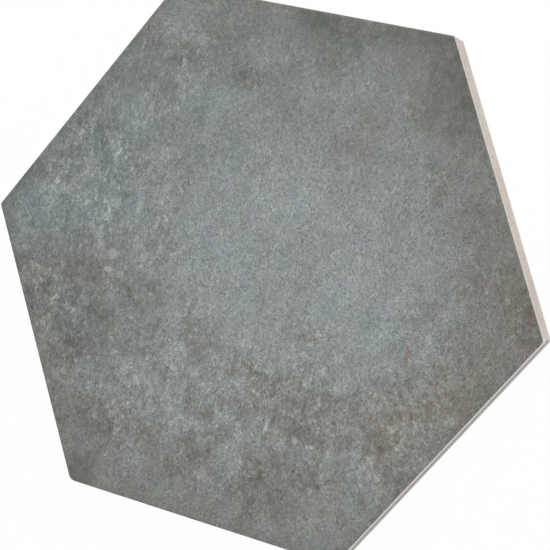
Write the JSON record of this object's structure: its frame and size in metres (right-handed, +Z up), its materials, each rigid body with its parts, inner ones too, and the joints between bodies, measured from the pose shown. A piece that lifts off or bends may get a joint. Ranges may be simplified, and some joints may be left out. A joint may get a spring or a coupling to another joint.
{
  "type": "hexagon tile",
  "caption": "Hexagon floor tile of pressed stoneware with a matt, cement-look glazed face, stepped edge and keyed back.",
  "frame": {"origin": "middle of the back, on the plane of its ribs, where the tile rests on its bed", "axes": "+Z up out of the glazed face, +X through a corner, +Y square to a pair of sides"},
  "size_m": [0.2018, 0.175, 0.011],
  "materials": {
    "glazed_stoneware": "matt glaze with a mottled grey cement print, on a pale beige body"
  },
  "bodies": {
    "root": {"hexagon_tile": "glazed_stoneware"}
  },
  "joints": []
}
